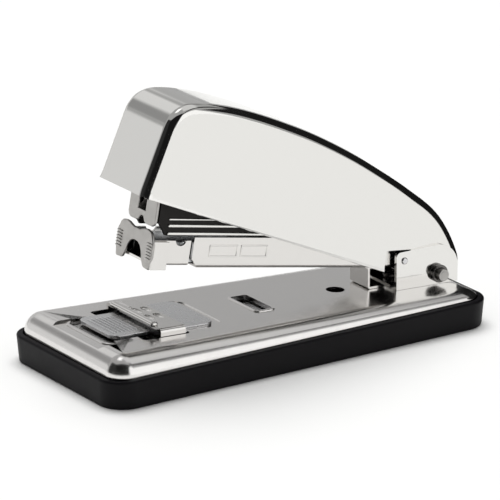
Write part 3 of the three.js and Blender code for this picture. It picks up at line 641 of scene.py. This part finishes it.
def buildBracket():
    b = bracket
    low = 0.05
    front, rear, top = b["front"], b["rear"], b["top"]
    outline = [(front, deckTop(front) + low), (rear, deckTop(rear) + low)]
    outline += arcPoints(rear - b["rearCorner"], top - b["rearCorner"], b["rearCorner"], 0, 90, 16)
    outline += arcPoints(front + b["corner"], top - b["corner"], b["corner"], 90, 180, 6)
    inner = b["half"] - b["sheet"]
    body = traced("hinge_cheeks", outline, "XZ", -b["half"], b["half"])
    floor = deckTop(front) + b["sheet"]
    carve(body, block("tool", (front - 1, rear + 1), (-inner, inner), (floor, top + 1)),
          block("tool", (front + b["floorLength"], rear + 1), (-inner, inner), (0, top + 1)))
    pin, stud = b["pin"], b["stud"]
    carve(body, rod("tool", pin["radius"] + 0.15, -20, 20, "Y", 48, (axle.x, axle.z)),
          rod("tool", stud["radius"] + 0.08, -20, 20, "Y", 32, (stud["x"], stud["z"])))
    soften(body, 0.28, 3, 40)
    finish(body, "stapler", "base", chromePlate, ["hinge_bracket"])

    shaft = rod("axle_rod", pin["radius"], -pin["half"], pin["half"], "Y", 48, (axle.x, axle.z))
    pick(shaft, "FACE", lambda m, n: abs(n.y) > 0.9)
    bpy.ops.mesh.inset(thickness=0.45 * mm, use_individual=True)
    bpy.ops.mesh.inset(thickness=0.5 * mm, depth=-0.18 * mm, use_individual=True)
    leave()
    pick(shaft, "EDGE", lambda p, q: near(abs(p.y), pin["half"]) and near(abs(q.y), pin["half"])
         and near(math.hypot(p.x - axle.x, p.z - axle.z), pin["radius"]))
    bevel(0.4, 4)
    leave()
    finish(shaft, "stapler", "base", mattNickel, ["axle_pin"])
    for name, side in (("near", -1), ("far", 1)):
        start, end = sorted((side * (b["half"] + 0.1), side * (b["half"] + 0.1 + pin["collarOut"])))
        collar = rod("pin_collar_" + name, pin["collar"], start, end, "Y", 48, (axle.x, axle.z))
        carve(collar, rod("tool", pin["radius"] + 0.1, -20, 20, "Y", 48, (axle.x, axle.z)))
        soften(collar, 0.22, 3)
        # painted shade: the collars are dark to stand for the shaded ring round each pin end
        finish(collar, "stapler", "base", paintedShadeDark, ["axle_collar_" + name])
        start, end = sorted((side * inner, side * (b["half"] + stud["out"])))
        knob = rod("stud_" + name, stud["radius"], start, end, "Y", 32, (stud["x"], stud["z"]))
        soften(knob, 0.3, 4)
        finish(knob, "stapler", "base", zincPlate, ["stop_stud_" + name])

    bolt = b["bolt"]
    head = rod("bracket_screw", bolt["head"], 0.4 + b["sheet"], 0.4 + b["sheet"] + bolt["height"], "Z", 32,
               (bolt["x"], 0))
    soften(head, 0.45, 4)
    carve(head, block("tool", (bolt["x"] - 4, bolt["x"] + 4), (-0.35, 0.35), (b["sheet"] + 1.1, 9)))
    carve(head, rod("tool", 1.55, -5.5, 1.0 + b["sheet"], "Z", 24, (bolt["x"], 0)), how="UNION")
    # painted shade: the screw head is dark to stand for the shaded inside of the bracket
    finish(head, "deck", "base", paintedShadeDark, ["bracket_bolt"])


buildBracket()

lift = {"front": 38.6, "back": 45.0, "half": 5.0, "sheet": 0.7, "bend": 0.9}


def magazineUnder(x):
    tilt = math.radians(pose["magazineTilt"])
    return axle.z + (axle.x - x) * math.tan(tilt) + 0.7 / math.cos(tilt)


def buildLift():
    v = lift
    low, high = deckTop(v["front"]) + 0.1, magazineUnder(v["front"]) - 0.15
    side = traced("lift_leaf", [
        (v["back"], deckTop(v["back"]) + 0.1), (v["front"], low), (v["front"], high),
        (v["back"], magazineUnder(v["back"]) - 0.15),
    ], "XZ", -v["half"], v["half"])
    pick(side, "EDGE", lambda a, b: near(a.x, v["front"]) and near(b.x, v["front"]) and near(a.z, b.z))
    bevel(v["bend"], 5)
    pick(side, "FACE", lambda m, n: abs(n.y) > 0.9 or n.x > 0.9)
    bpy.ops.mesh.delete(type="FACE")
    leave()
    modify(side, "SOLIDIFY", thickness=v["sheet"] * mm, offset=-1)
    soften(side, 0.1, 2)
    finish(side, "stapler", "base", chromeStrip, ["lift_spring"])


buildLift()
print("bracket ready")

# ---- magazine ----
magazine = {
    "half": 7.7, "sheet": 0.9, "bottom": 0.7, "top": 10.5, "nose": -93, "rear": -12, "bend": 1.3, "ear": 3.5,
    "frames": {"x": ((-87, -76.4), (-75.3, -65.2)), "z": (4.3, 8.2), "line": 0.45, "proud": 0.2},
    "face": -108.6, "faceSheet": 1.0, "plateTop": 27, "bridge": 11.4,
    "rails": ((11.2, 12.2, 0.5), (13.7, 14.7, 0.5), (15.9, 16.6, 0.4)), "hole": ((-1.6, 2.6), (17.4, 22.0)),
}


def earShape():
    m = magazine
    ear = arcPoints(0, 0, m["ear"], -126, 90, 20)
    under = [(m["rear"] - 2, m["bottom"] + 0.4), (m["rear"] + 4, m["bottom"] - 1.2)]
    return under + ear + [(-8, m["top"]), (m["rear"] - 2, m["top"])]


def buildChannel():
    m = magazine
    half, sheet = m["half"], m["sheet"]
    body = block("magazine_trough", (m["nose"], m["rear"]), (-half, half), (m["bottom"], m["top"]))
    pick(body, "EDGE", lambda a, b: near(a.z, m["bottom"]) and near(b.z, m["bottom"]) and near(a.y, b.y))
    bevel(m["bend"], 5)
    pick(body, "FACE", lambda c, n: n.z > 0.9 or abs(n.x) > 0.9)
    bpy.ops.mesh.delete(type="FACE")
    leave()
    modify(body, "SOLIDIFY", thickness=sheet * mm, offset=-1)
    for side in (-1, 1):
        y = sorted((side * half, side * (half - sheet)))
        carve(body, traced("tool", earShape(), "XZ", *y), how="UNION")
    carve(body, traced("tool", [(m["nose"] - 1, 0), (m["nose"] - 1, 3.6), (m["nose"], 3.6), (m["nose"] + 3.4, 0)],
                       "XZ", -20, 20))
    carve(body, rod("tool", 2.2, -20, 20, "Y", 40, (0, 0)))
    frames = m["frames"]
    line = frames["line"]
    for x0, x1 in frames["x"]:
        z0, z1 = frames["z"]
        raised = block("frame", (x0, x1), (-half - frames["proud"], -half + 0.3), (z0, z1))
        carve(raised, block("tool", (x0 + line, x1 - line), (-half - 1, -half + 1), (z0 + line, z1 - line)))
        soften(raised, 0.12, 2)
        carve(body, raised, how="UNION")
    soften(body, 0.12, 2, 50)
    finish(body, "magazine", "magazine", chromeStrip, ["magazine_channel"])


def lobes():
    w, low = magazine["half"], 13.6
    right = [(0, 15.6), (0.9, 15.2), (1.7, 13.9), (2.7, 13.5), (w - 1.5, 13.5), (w - 0.5, 14.1), (w, 15.3)]
    left = [(-y, z) for y, z in reversed(right[1:])]
    return left + right + [(w, magazine["plateTop"]), (-w, magazine["plateTop"])]


def buildChassis():
    m = magazine
    half, sheet, face = m["half"], m["sheet"], m["face"]
    front = traced("magazine_front", lobes(), "YZ", face, face + m["faceSheet"])
    carve(front, block("tool", (face - 1, face + 2), *m["hole"]))
    soften(front, 0.3, 3, 50)
    finish(front, "magazine", "magazine", mattNickel)

    outline = [(face + 0.4 + m["faceSheet"], 15.2), (face + 4.4, m["bridge"] - 0.3), (-30, m["bridge"] - 0.3),
               (-30, 15.5), (-62, 17.5), (-92, m["plateTop"]), (face + 0.4 + m["faceSheet"], m["plateTop"])]
    walls = traced("magazine_rails", outline, "XZ", -half, half)
    inner = half - sheet
    carve(walls, block("tool", (face - 2, -20), (-inner, inner), (m["bridge"] + 0.8, 40)),
          block("tool", (face - 2, -78), (-inner, inner), (0, 40)))
    # painted shade: the rail walls are near black to stand for the shaded gaps between the chrome beads
    finish(walls, "magazine", "magazine", paintedShadeBlack, ["magazine_chassis"])

    beads = []
    for low, high, proud in m["rails"]:
        for side in (-1, 1):
            y = sorted((side * (half - 0.2), side * (half + proud)))
            beads.append(block("rail_bead_%d" % (len(beads) + 1), (face + 5, -31), y, (low, high)))
            soften(beads[-1], proud * 0.8, 5)
            finish(beads[-1], "magazine", "magazine", chromePlate)


buildChannel()
buildChassis()
print("magazine ready")

# ---- loading slide with its clip, staples and pusher ----
slide = {
    "half": 5.7, "sheet": 0.7, "low": 1.9, "top": 8.3, "rear": -12, "front": -105.9, "floor": 0.6,
    "cheek": {"outer": 9.0, "sheet": 0.8, "x": (-108.5, -95), "top": 9.8, "notch": (-98.8, 2.0), "corner": 0.9},
    "clip": {"face": -109.8, "sheet": 1.0, "wrapTo": -103.6, "wrapHalf": 10.1, "wrapLow": 0.7, "wrapTop": 9.6},
    "rod": {"radius": 0.9, "z": 5.2},
    "staples": {"x": (-105.5, -58), "half": 6.45, "leg": 6.0, "wire": 0.5, "high": 8.75},
    "pusherLength": 9,
}


def buildSlide():
    s = slide
    half, low, top, sheet = s["half"], s["low"], s["top"], s["sheet"]
    body = block("loading_rail", (s["front"], s["rear"]), (-half, half), (low, top))
    pick(body, "EDGE", lambda a, b: near(a.z, top) and near(b.z, top) and near(a.y, b.y))
    bevel(0.7, 4)
    leave()
    carve(body, block("tool", (s["front"] + 1.4, s["rear"] - 1.4), (-half + sheet, half - sheet),
                      (low + s["floor"], top - sheet)),
          block("tool", (s["front"] + 8, s["rear"] - 4), (-1.6, 1.6), (top - 2, top + 1)))
    carve(body, block("tool", (s["front"], s["rear"]), (-6.4, 6.4), (low, low + s["floor"])), how="UNION")
    carve(body, rod("tool", s["rod"]["radius"] + 0.15, s["front"] - 1, s["rear"] + 1, "X", 24, (0, s["rod"]["z"])))
    cheek = s["cheek"]
    box = block("tool", cheek["x"], (-cheek["outer"], cheek["outer"]), (low, cheek["top"]))
    pick(box, "EDGE", lambda a, b: near(a.z, low) and near(b.z, low) and near(a.y, b.y))
    bevel(cheek["corner"], 4)
    leave()
    inner = cheek["outer"] - cheek["sheet"]
    carve(box, block("tool2", (-120, -80), (-inner, inner), (low + cheek["sheet"], 20)),
          rod("tool2", cheek["notch"][1], -20, 20, "Y", 40, (cheek["notch"][0], cheek["top"] + 0.3)))
    soften(box, 0.12, 2, 50)
    soften(body, 0.12, 2, 50)
    # painted shade: the rail body is near black to stand for the dark inside seen past the slide's cheeks
    finish(body, "magazine", "slide", paintedShadeBlack, ["loading_slide"])
    box.name = box.data.name = "slide_cheeks"
    finish(box, "magazine", "slide", chromeStrip)

    guide = rod("guide_bar", s["rod"]["radius"], s["front"] + 0.2, s["rear"] - 0.2, "X", 24, (0, s["rod"]["z"]))
    soften(guide, 0.2, 3)
    finish(guide, "magazine", "slide", zincPlate, ["guide_rod"])


def clipOutline():
    right = [(0, 11.6), (1.6, 11.6), (3.0, 12.0), (4.4, 12.5), (6.0, 12.7), (7.8, 12.4), (8.9, 11.6), (9.5, 10.3),
             (10.1, 9.3), (10.2, 8.4), (10.2, 4.7), (10.0, 3.4), (9.7, 2.3), (9.5, 0.9), (9.0, 0.5), (6.6, 0.6),
             (5.8, 1.0), (4.7, 2.9), (3.9, 5.2), (2.9, 6.7), (1.6, 7.5), (0, 7.7)]
    return right + [(-y, z) for y, z in reversed(right[1:-1])]


def buildClip():
    s = slide
    clip = s["clip"]
    face = clip["face"]
    body = traced("nose_clip_plate", clipOutline(), "YZ", face, face + clip["sheet"])
    soften(body, 0.32, 3, 50)
    # rows of small teeth pressed into both wings
    for side in (-1, 1):
        for i in range(6):
            y = sorted((side * 7.2, side * 9.9))
            z = 3.6 + i * 0.95
            tooth = block("tool", (face - 0.4, face + 0.3), y, (z, z + 0.5))
            soften(tooth, 0.2, 2)
            carve(body, tooth, how="UNION")
    wrap = block("tool", (face + 0.25, clip["wrapTo"]), (-clip["wrapHalf"], clip["wrapHalf"]),
                 (clip["wrapLow"], clip["wrapTop"]))
    pick(wrap, "EDGE", lambda a, b: near(a.x, b.x, 0.01) and near(a.y, b.y, 0.01) and a.x < face + 0.5)
    bevel(0.6, 3)
    leave()
    inner = s["cheek"]["outer"] + 0.3
    carve(wrap, block("tool2", (face - 2, clip["wrapTo"] + 1), (-inner, inner), (-1, 20)))
    soften(wrap, 0.2, 2, 50)
    finish(body, "magazine", "slide", mattNickel, ["nose_clip"])
    wrap.name = wrap.data.name = "nose_clip_wraps"
    finish(wrap, "magazine", "slide", chromeStrip)


def buildStaples():
    st = slide["staples"]
    half, leg, wire, high = st["half"], st["leg"], st["wire"], st["high"]
    x0 = st["x"][0]
    first = block("staple_sticks", (x0, x0 + wire * 0.96), (-half, half), (high - leg - 0.4, high + 0.1))
    pick(first, "EDGE", lambda a, b: near(a.z, high + 0.1) and near(b.z, high + 0.1) and near(a.y, b.y))
    bevel(0.5, 2)
    leave()
    carve(first, block("tool", (x0 - 1, x0 + 1), (-half + wire, half - wire), (0, high + 0.1 - wire)))
    count = int((st["x"][1] - x0) / wire)
    modify(first, "ARRAY", count=count, use_relative_offset=False, use_constant_offset=True,
           constant_offset_displace=(wire * mm, 0, 0))
    finish(first, "magazine", "slide", stapleWire, ["staple_strip"])


def buildPusher():
    s = slide
    x0 = s["staples"]["x"][1] + 0.3
    x1 = x0 + s["pusherLength"]
    top = s["top"] + 0.3
    body = block("staple_follower", (x0, x1), (-6.4, 6.4), (4, top + 1.2))
    pick(body, "EDGE", lambda a, b: near(a.z, top + 1.2) and near(b.z, top + 1.2) and near(a.y, b.y))
    bevel(0.8, 4)
    leave()
    carve(body, block("tool", (x0 - 1, x1 + 1), (-6, 6), (0, top)))
    carve(body, block("tool", (x0 + 1, x1 - 1), (-1.2, 1.2), (3.4, top + 0.4)), how="UNION")
    carve(body, rod("tool", s["rod"]["radius"] + 0.25, x0 - 1, x1 + 1, "X", 24, (0, s["rod"]["z"])))
    soften(body, 0.12, 2, 50)
    finish(body, "magazine", "pusher", mattNickel, ["staple_pusher"])


# a coil spring: a small circle of wire wound along Z from the origin
def coil(name, radius, wire, length, turns):
    bpy.ops.object.select_all(action="DESELECT")
    bpy.ops.mesh.primitive_circle_add(vertices=8, radius=wire * mm, fill_type="NGON",
                                      location=(radius * mm, 0, wire * mm), rotation=(math.pi / 2, 0, 0))
    bpy.ops.object.transform_apply(location=True, rotation=True, scale=True)
    made = named(name)
    modify(made, "SCREW", axis="Z", angle=2 * math.pi * turns, screw_offset=(length - 2 * wire) * mm, iterations=1,
           steps=16 * turns, render_steps=16 * turns, use_normal_calculate=True, use_merge_vertices=False)
    edit(made)
    bpy.ops.mesh.select_all(action="SELECT")
    bpy.ops.mesh.remove_doubles(threshold=1e-6)
    bpy.ops.mesh.select_all(action="SELECT")
    bpy.ops.mesh.fill_holes(sides=8)
    bpy.ops.mesh.select_all(action="SELECT")
    bpy.ops.mesh.normals_make_consistent(inside=False)
    leave()
    return made


def turned(obj, degrees, x, y, z):
    only(obj)
    obj.rotation_euler = (0, math.radians(degrees), 0)
    obj.location = Vector((x, y, z)) * mm
    bpy.ops.object.transform_apply(location=True, rotation=True, scale=True)
    return obj


springs = {
    "pusher": {"radius": 1.65, "wire": 0.28, "turns": 14, "x": (-49.0, -14.0)},
    "return": {"radius": 4.2, "wire": 0.55, "turns": 6, "length": 17.5, "x": -58, "z": 12.9, "lean": -6},
}


def buildSprings():
    p, r = springs["pusher"], springs["return"]
    pusher = coil("pusher_coil", p["radius"], p["wire"], p["x"][1] - p["x"][0], p["turns"])
    turned(pusher, 90, p["x"][0], 0, slide["rod"]["z"])
    finish(pusher, "magazine", "pusher", springSteel, ["pusher_spring"], smooth=60)
    back = coil("return_coil", r["radius"], r["wire"], r["length"], r["turns"])
    turned(back, r["lean"], r["x"], 0, r["z"])
    finish(back, "magazine", "magazine", springSteel, ["return_spring"], smooth=60)


buildSlide()
buildClip()
buildStaples()
buildPusher()
buildSprings()
print("slide ready")

# ---- driver and stiffener inside the handle ----
driver = {"x": -106.8, "half": 6.1, "sheet": 0.6, "low": -9.4, "high": 23.5, "holderHalf": 8.5,
          "rivetY": 4, "rivetZ": 21, "rivet": 1.6}


def buildDriver():
    d = driver
    x0, x1 = d["x"] - d["sheet"] / 2, d["x"] + d["sheet"] / 2
    blade = block("driver_strip", (x0, x1), (-d["half"], d["half"]), (d["low"], d["high"]))
    soften(blade, 0.12, 2)
    finish(blade, "handle", "handle", springSteel, ["driver_blade"])
    back = x1 + 0.3
    holder = block("driver_bracket", (back, back + 14), (-d["holderHalf"], d["holderHalf"]), (17.8, 26))
    pick(holder, "EDGE", lambda a, b: near(a.x, back) and near(b.x, back) and near(a.z, 26) and near(b.z, 26))
    bevel(1.6, 4)
    pick(holder, "FACE", lambda m, n: abs(n.y) > 0.9 or n.x > 0.9 or n.z < -0.9)
    bpy.ops.mesh.delete(type="FACE")
    leave()
    modify(holder, "SOLIDIFY", thickness=1.2 * mm, offset=-1)
    soften(holder, 0.2, 2)
    finish(holder, "handle", "handle", zincPlate, ["driver_holder"])
    for name, side in (("near", -1), ("far", 1)):
        head = rod("driver_rivet_head_" + name, d["rivet"], x0 - 1.2, x0 - 0.3, "X", 32,
                   (side * d["rivetY"], d["rivetZ"]))
        soften(head, 0.4, 4)
        finish(head, "handle", "handle", zincPlate, ["driver_rivet_" + name])
    rail = block("handle_channel", (-88, -36), (-7.2, 7.2), (19.5, 24.2))
    pick(rail, "EDGE", lambda a, b: near(a.z, 24.2) and near(b.z, 24.2) and near(a.y, b.y))
    bevel(1.2, 4)
    pick(rail, "FACE", lambda m, n: n.z < -0.9 or abs(n.x) > 0.9)
    bpy.ops.mesh.delete(type="FACE")
    leave()
    modify(rail, "SOLIDIFY", thickness=0.8 * mm, offset=-1)
    soften(rail, 0.15, 2)
    finish(rail, "handle", "handle", zincPlate, ["handle_stiffener"])


buildDriver()


# the screws and the plate under the sole keep their shapes and take finished metals
def dressKept():
    for name, node in frame["nodes"].items():
        if node.hide_render:
            continue
        node.data.materials.clear()
        node.data.materials.append(zincPlate)
        print("kept", name)


dressKept()
print("driver ready")

# ---- the desk, the lights and the camera ----
studio = {
    "target": (0, 0, 25), "distance": 1600, "azimuth": 33.2, "elevation": 18.25,
    "lens": 5122 * 36 / 500, "shift": (-7.1 / 500, 17.6 / 500),
    "floor": "#F6F6F5", "room": 0.42,
    "sunPower": 2.35, "sunAngle": 50, "sunTurn": (-18, 8, 0),
}


def deskPaper(hexColour):
    material, _, shader, _ = newMaterial("paleDesk")
    shader.inputs["Base Color"].default_value = linear(hexColour)
    shader.inputs["Roughness"].default_value = 0.9
    shader.inputs["Specular IOR Level"].default_value = 0.1
    return material


# a card seen only in reflections, so far off towards azimuth and elevation; its edges melt into what lies behind
def card(name, azimuth, elevation, distance, width, height, glow, soft):
    a, e = math.radians(azimuth), math.radians(elevation)
    towards = Vector((math.cos(a) * math.cos(e), math.sin(a) * math.cos(e), math.sin(e)))
    bpy.ops.object.select_all(action="DESELECT")
    bpy.ops.mesh.primitive_plane_add(size=1, location=towards * distance * mm)
    obj = named(name)
    obj.scale = (width * mm, height * mm, 1)
    obj.rotation_euler = towards.to_track_quat("Z", "Y").to_euler()
    material, tree, shader, place = newMaterial(name)
    across = add(tree, "ShaderNodeSeparateXYZ", links={"Vector": place})
    masks = []
    for axis in ("X", "Y"):
        size = add(tree, "ShaderNodeMath", {"operation": "ABSOLUTE"}, {0: across.outputs[axis]})
        masks.append(add(tree, "ShaderNodeMapRange", {
            "interpolation_type": "SMOOTHSTEP", "From Min": 0.5 - soft, "From Max": 0.5, "To Min": 1.0, "To Max": 0.0,
        }, {"Value": size.outputs[0]}))
    both = add(tree, "ShaderNodeMath", {"operation": "MULTIPLY"},
               {0: masks[0].outputs["Result"], 1: masks[1].outputs["Result"]})
    clear = add(tree, "ShaderNodeBsdfTransparent")
    light = add(tree, "ShaderNodeEmission", {"Strength": glow})
    mix = add(tree, "ShaderNodeMixShader",
              links={0: both.outputs[0], 1: clear.outputs[0], 2: light.outputs["Emission"]})
    output = next(n for n in tree.nodes if n.type == "OUTPUT_MATERIAL")
    tree.links.new(mix.outputs[0], output.inputs["Surface"])
    tree.nodes.remove(shader)
    obj.data.materials.append(material)
    obj.visible_camera = obj.visible_diffuse = obj.visible_shadow = False
    obj.visible_transmission = obj.visible_volume_scatter = False


# middle azimuth and elevation, distance, width, height, brightness, share of each edge that melts away
cards = {
    "whiteFrontRight": (-64, 17, 1500, 1100, 1150, 1.2, 0.05),
    "darkBandFront": (-40, 49, 1400, 2400, 190, 0.02, 0.2),
    "softOverhead": (5, 68, 1300, 1500, 900, 0.72, 0.15),
    "blackRight": (0, 22, 1500, 2050, 900, 0.012, 0.04),
    "darkBandBack": (48, 40, 1500, 760, 170, 0.02, 0.2),
    "lampOverhead": (120, 79, 1300, 560, 460, 1.5, 0.12),
    "greyBack": (62, 17, 1900, 1700, 900, 0.45, 0.1),
    "greyBackLeft": (84, 17, 800, 700, 420, 0.62, 0.12),
    "paleOverLeft": (88, 38, 1200, 760, 330, 0.80, 0.2),
    "greyLeft": (114, 29, 1300, 900, 330, 0.32, 0.2),
    "whiteLeft": (127, 7, 1250, 1040, 560, 0.78, 0.12),
    "blackLeft": (183, 24, 1500, 1800, 1500, 0.03, 0.08),
    "blackBehindCamera": (237, 30, 660, 900, 760, 0.010, 0.06),
    "flagAtTail": (1, 14, 129, 130, 76, 0.010, 0.06),
}


def buildStudio():
    s = studio
    bpy.ops.object.select_all(action="DESELECT")
    bpy.ops.mesh.primitive_plane_add(size=12, location=(0, 0, 0))
    floor = named("desk")
    floor.data.materials.append(deskPaper(s["floor"]))
    world.use_nodes = True
    sky = world.node_tree.nodes["Background"]
    sky.inputs["Color"].default_value = (1, 1, 1, 1)
    sky.inputs["Strength"].default_value = s["room"]
    for name, settings in cards.items():
        card(name, *settings)
    sun = bpy.data.lights.new("softSun", "SUN")
    sun.energy, sun.angle = s["sunPower"], math.radians(s["sunAngle"])
    lamp = bpy.data.objects.new("softSun", sun)
    bpy.context.scene.collection.objects.link(lamp)
    lamp.rotation_euler = tuple(math.radians(d) for d in s["sunTurn"])
    lamp.visible_glossy = False
    a, e = math.radians(s["azimuth"]), math.radians(s["elevation"])
    back = Vector((-math.sin(a) * math.cos(e), -math.cos(a) * math.cos(e), math.sin(e)))
    camera = bpy.data.objects.new("camera", bpy.data.cameras.new("camera"))
    bpy.context.scene.collection.objects.link(camera)
    camera.location = (Vector(s["target"]) + back * s["distance"]) * mm
    camera.rotation_euler = (-back).to_track_quat("-Z", "Y").to_euler()
    camera.data.sensor_width = 36
    camera.data.lens = s["lens"]
    camera.data.shift_x, camera.data.shift_y = s["shift"]
    camera.data.clip_start, camera.data.clip_end = 0.05, 50
    bpy.context.scene.camera = camera


buildStudio()
